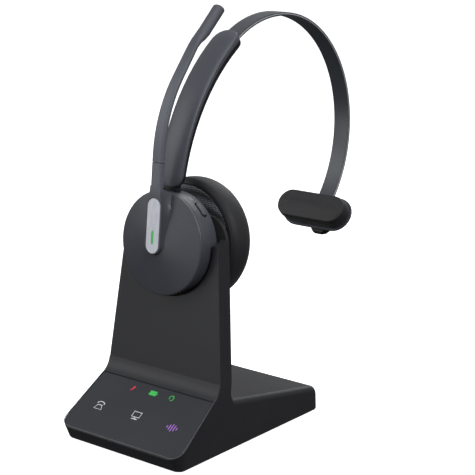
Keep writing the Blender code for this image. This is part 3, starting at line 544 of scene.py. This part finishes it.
def make_ear_cushion(mats):
    """Leatherette ring over foam, with a sewn seam round the outside and one round the opening."""
    around = 132
    section = [  # (axial, radius, sewn)
        (22.3, 15.2, 1), (22.3, 24.0, 1), (22.3, 32.9, 1), (22.6, 33.5, 1), (23.4, 33.75, 0),
        (24.6, 34.1, 0), (26.0, 34.35, 0), (27.6, 34.5, 0), (29.4, 34.55, 0), (31.2, 34.45, 0),
        (32.9, 34.2, 0), (34.5, 33.75, 0), (35.9, 33.0, 0), (37.2, 32.05, 0), (38.2, 30.95, 0),
        (39.0, 29.6, 0), (39.5, 28.1, 0), (39.8, 26.4, 0), (39.85, 24.6, 0), (39.7, 22.8, 0),
        (39.3, 21.0, 0), (38.7, 19.3, 0), (37.9, 17.8, 0), (36.9, 16.5, 0), (35.7, 15.5, 0),
        (34.3, 14.8, 0), (32.7, 14.45, 1), (31.0, 14.35, 0), (28.5, 14.3, 0), (25.8, 14.6, 0),
        (23.8, 15.0, 1),
    ]
    bm = bmesh.new()
    rows = []
    for i in range(around):
        turn = 2 * math.pi * i / around
        row = []
        for axial, radius, _ in section:
            r = radius + gather(axial, radius, turn)
            spot = Vector((r * math.sin(turn), axial, r * math.cos(turn))) * MM
            row.append(bm.verts.new(CUP_FRAME @ spot))
        rows.append(row)
    count = len(section)
    for i in range(around):
        here, there = rows[i], rows[(i + 1) % around]
        for j in range(count):
            k = (j + 1) % count
            bm.faces.new((here[j], here[k], there[k], there[j]))
    bmesh.ops.recalc_face_normals(bm, faces=bm.faces)
    mesh = bpy.data.meshes.new("ear_cushion_pad")
    bm.to_mesh(mesh)
    bm.free()
    sewn = [i * count + j for i in range(around) for j in range(count) if section[j][2]]
    swell(mesh, sewn, 4.0, 0.35 * MM)
    replaced = ("ear_cushion",)
    pad = add_piece("ear_cushion_pad", mesh, mats["leather"], "ear_cup", replaced, 180.0)
    pad.modifiers.new("smooth", "SUBSURF").render_levels = 1


def stadium_ring(half_run, radius, middle, axial, steps=14, straight=14):
    """Points of a stadium lying along X at one depth of the temple rest."""
    points = []
    for side, first in ((1, -math.pi / 2), (-1, math.pi / 2)):
        for i in range(steps + 1):
            angle = first + math.pi * i / steps
            points.append((side * half_run + radius * math.cos(angle), middle + radius * math.sin(angle)))
        for i in range(1, straight):
            points.append((side * half_run * (1 - 2 * i / straight), middle + side * radius))
    return [REST_FRAME @ (Vector((x, axial, u)) * MM) for x, u in points]


def make_rest_pad(mats):
    """Leatherette pad of the temple rest: crowned face, welted front edge and slightly bulged sides."""
    half_run, radius, middle = 15.3, 9.4, -16.4
    profile = [  # (depth, distance in from the outline, sewn)
        (-4.45, 9.0, 1), (-4.45, 6.0, 1), (-4.45, 3.0, 1), (-4.45, 1.3, 1), (-4.7, 0.75, 1),
        (-5.4, 0.45, 0), (-6.4, 0.28, 0), (-7.6, 0.22, 0), (-8.8, 0.24, 0), (-10.0, 0.32, 0),
        (-11.0, 0.42, 0), (-11.8, 0.55, 0), (-12.25, 0.78, 1), (-12.5, 0.55, 0), (-12.95, 0.5, 0),
        (-13.3, 0.8, 0), (-13.48, 1.5, 0), (-13.54, 2.8, 0), (-13.57, 4.4, 0), (-13.58, 6.2, 0),
        (-13.58, 7.8, 0), (-13.58, 9.0, 0),
    ]
    rings = [stadium_ring(half_run, radius - cut, middle, depth) for depth, cut, _ in profile]
    mesh = grid_mesh("rest_pad_cover", rings)
    count = len(rings[0])
    sewn = [j * count + i for j, row in enumerate(profile) if row[2] for i in range(count)]
    swell(mesh, sewn, 3.0, 0.3 * MM)
    leather = mats["leather"]
    replaced = ("rest_pad",)
    pad = add_piece("rest_pad_cover", mesh, leather, "temple_rest", replaced, 180.0)
    pad.modifiers.new("smooth", "SUBSURF").render_levels = 1


# ---------------------------------------------------------------- headband
def band_ring(angle, section):
    out = Vector((0.0, math.cos(angle), math.sin(angle)))
    return [BAND_CENTRE + out * (BAND_R + n * MM) + Vector((x * MM, 0.0, 0.0)) for x, n in section]


def band_layer(name, section, mat, replaces=()):
    """Sweeps a section of (across, outwards) in mm round the band's arc."""
    steps = 72
    angles = [BAND_START + (BAND_END - BAND_START) * i / steps for i in range(steps + 1)]
    rings = [band_ring(angle, section) for angle in angles]
    add_piece(name, grid_mesh(name, rings), mat, "band", replaces, 30.0)


def make_headband(mats):
    """Sprung strip: dark coated faces, a shadow gap painted as a near-black strip, and a bright core that
    shows at the edges.
    """
    face = [(4.7, 0.62), (5.2, 0.62), (5.36, 0.72), (5.36, 0.9), (5.15, 1.06), (4.3, 1.1)]
    outer = face + [(-x, n) for x, n in reversed(face)]
    inner = [(x, -n) for x, n in reversed(face)] + [(-x, -n) for x, n in face]
    band_layer("band_outer_face", outer, mats["band"], ("headband",))
    band_layer("band_inner_face", inner, mats["band"])
    # Near-black strip set back between the faces: painted shadow in the edge gap.
    heights = (-0.6, -0.36, 0.36, 0.6)
    core = [(4.9, n) for n in heights] + [(-4.9, n) for n in reversed(heights)]
    band_layer("band_core", core, mats["groove"])
    edge = [(4.92, -0.34), (5.3, -0.34), (5.39, -0.2), (5.39, 0.2), (5.3, 0.34), (4.92, 0.34)]
    band_layer("band_edge_right", edge, mats["edge"])
    band_layer("band_edge_left", [(-x, n) for x, n in reversed(edge)], mats["edge"])


# ---------------------------------------------------------------- small marks
def strokes(name, frame_matrix, lines, width, mat, body):
    """Thin lines laid on a surface, printed marks and painted strips alike: each is (points, closed) in mm in
    the surface's frame.
    """
    curve = bpy.data.curves.new(name, "CURVE")
    curve.dimensions = "3D"
    curve.bevel_depth = width / 2
    curve.bevel_resolution = 2
    curve.use_fill_caps = True
    for points, closed in lines:
        spline = curve.splines.new("POLY")
        spline.points.add(len(points) - 1)
        for point, (x, y) in zip(spline.points, points):
            point.co = (x, y, 0.0, 1.0)
        spline.use_cyclic_u = closed
    holder = bpy.data.objects.new(name + "_curve", curve)
    bpy.context.scene.collection.objects.link(holder)
    mesh = bpy.data.meshes.new_from_object(holder.evaluated_get(bpy.context.evaluated_depsgraph_get()))
    bpy.data.objects.remove(holder, do_unlink=True)
    mesh.name = name
    flatten = Matrix.Diagonal((1.0, 1.0, 0.05, 1.0))
    lift = Matrix.Translation((0.0, 0.0, 0.03))
    mesh.transform(frame_matrix @ Matrix.Scale(MM, 4) @ lift @ flatten)
    return add_piece(name, mesh, mat, body, (), 60.0)


def circle(x, y, radius, start=0.0, end=360.0, steps=20, squeeze=1.0):
    angles = [math.radians(start + (end - start) * i / steps) for i in range(steps + 1)]
    return [(x + radius * math.cos(a), y + squeeze * radius * math.sin(a)) for a in angles]


def make_icons(mats):
    """Generic pictograms behind the touch panel."""
    def icon(name, mat, width, lines):
        strokes(name, PANEL_FRAME, lines, width, mats[mat], "dock")

    x, y = -13.8, 34.3
    icon("icon_muted_microphone", "red", 0.5, [
        ([(x - 0.5, y - 0.6), (x + 0.5, y + 1.7)], False),
        ([(x, y - 0.9), (x + 1.0, y + 1.4)], False),
        ([(x - 1.0, y - 1.7), (x - 0.3, y - 1.0)], False),
    ])
    x, y = 0.9, 34.8
    fill = [([(x - 2.1, y + row), (x + 1.9, y + row)], False) for row in (-1.0, -0.5, 0.0, 0.5, 1.0)]
    icon("icon_battery", "green", 0.6, fill + [
        ([(x - 2.3, y - 1.3), (x + 2.1, y - 1.3), (x + 2.1, y + 1.3), (x - 2.3, y + 1.3)], True),
        ([(x + 2.8, y - 0.4), (x + 2.8, y + 0.4)], False),
    ])
    x, y = 14.0, 35.2
    icon("icon_headset", "green", 0.5, [
        (circle(x, y, 1.35, -25, 205, 14), False),
        ([(x - 1.25, y - 0.4), (x - 1.25, y - 1.2)], False),
        ([(x + 1.25, y - 0.4), (x + 1.25, y - 1.1), (x + 0.7, y - 1.6), (x, y - 1.6)], False),
    ])
    x, y = -26.4, 18.0
    icon("icon_desk_phone", "white", 0.46, [
        ([(x - 3.1, y - 2.4), (x + 2.4, y - 2.4), (x + 1.1, y + 0.4), (x - 1.8, y + 0.4)], True),
        (circle(x - 0.3, y + 0.1, 2.9, 35, 145, 10, 0.9), False),
        ([(x - 2.9, y + 1.9), (x - 2.5, y + 1.1)], False),
        ([(x + 2.3, y + 1.9), (x + 1.9, y + 1.1)], False),
    ])
    x, y = 0.3, 18.4
    icon("icon_computer", "white", 0.46, [
        ([(x - 2.7, y - 0.8), (x + 2.7, y - 0.8), (x + 2.7, y + 2.6), (x - 2.7, y + 2.6)], True),
        ([(x - 0.8, y - 1.5), (x + 0.8, y - 1.5)], False),
        ([(x - 2.0, y - 2.2), (x + 2.0, y - 2.2)], False),
    ])
    x, y = 26.6, 17.9
    bars = [(-3.3, 0.7), (-1.65, 1.7), (0.0, 2.4), (1.65, 1.9), (3.3, 0.8)]
    icon("icon_voice", "violet", 0.42, [
        ([(x + across, y - tall), (x + across, y + tall)], False) for across, tall in bars
    ])


def panel_edge(out):
    """Outline of the glass moved outwards, from its left upper corner round the front to its right one."""
    front = LIP_RIM + GLASS_CORNER
    centre = LIP[0] - math.tan(PANEL_TAPER) * front - front / math.cos(PANEL_TAPER)
    radius = GLASS_CORNER + out
    side = []
    for i in range(11):
        angle = -math.pi / 2 + (math.pi / 2 + PANEL_TAPER) * i / 10
        side.append((centre + radius * math.cos(angle), front + radius * math.sin(angle)))
    half_end = LIP[0] - math.tan(PANEL_TAPER) * PANEL_LENGTH - (LIP_RIM - out) / math.cos(PANEL_TAPER)
    side.append((half_end, PANEL_LENGTH - 0.2))
    return [(-x, y) for x, y in reversed(side)] + side


def make_panel_edge(mats):
    """Painted highlight along the moulded edge of the lip, and the soft gasket in the gap round the glass,
    dark so that it also paints the shade in the seam.
    """
    strokes("panel_rim", PANEL_FRAME, [(panel_edge(0.62), False)], 0.4, mats["rim"], "dock")
    sunk = PANEL_FRAME @ Matrix.Translation((0.0, 0.0, -0.12 * MM))
    strokes("panel_gasket", sunk, [(panel_edge(0.15), True)], 0.28, mats["gasket"], "dock")


def make_side_mark(mats):
    """Small printed mark beside the volume key, laid on the housing's round side."""
    turn = Matrix.Rotation(math.radians(25.5), 4, "Y")
    face = CUP_FRAME @ turn @ Matrix.Translation(Vector((0.0, 8.4, 28.3)) * MM)
    rows = [([(-1.4, row), (1.4, row)], False) for row in (-0.7, -0.23, 0.23, 0.7)]
    mark = strokes("volume_mark", face, rows, 0.55, mats["mark"], "ear_cup")
    to_cup = CUP_FRAME.inverted()
    slope = (HOUSING_BACK_R - HOUSING_FRONT_R) / (HOUSING_BACK - HOUSING_FRONT)
    for vertex in mark.data.vertices:
        local = to_cup @ vertex.co
        surface = HOUSING_FRONT_R + slope * (local.y / MM - HOUSING_FRONT)
        outwards = (surface + 0.02) * MM / math.hypot(local.x, local.z)
        vertex.co = CUP_FRAME @ Vector((local.x * outwards, local.y, local.z * outwards))


def main():
    bpy.context.scene.view_settings.view_transform = "Standard"
    make_camera()
    make_world()
    make_floor()
    make_lights()
    mats = make_materials()
    make_skins(mats)
    close_seam("mic_tip_skin", "boom_arm_skin")
    close_seam("sleeve_inner_skin", "sleeve_outer_skin")
    shrink_rocker()
    make_headband(mats)
    make_ear_cushion(mats)
    make_rest_pad(mats)
    make_icons(mats)
    make_panel_edge(mats)
    make_side_mark(mats)
    finish_inner_nodes(mats)


main()
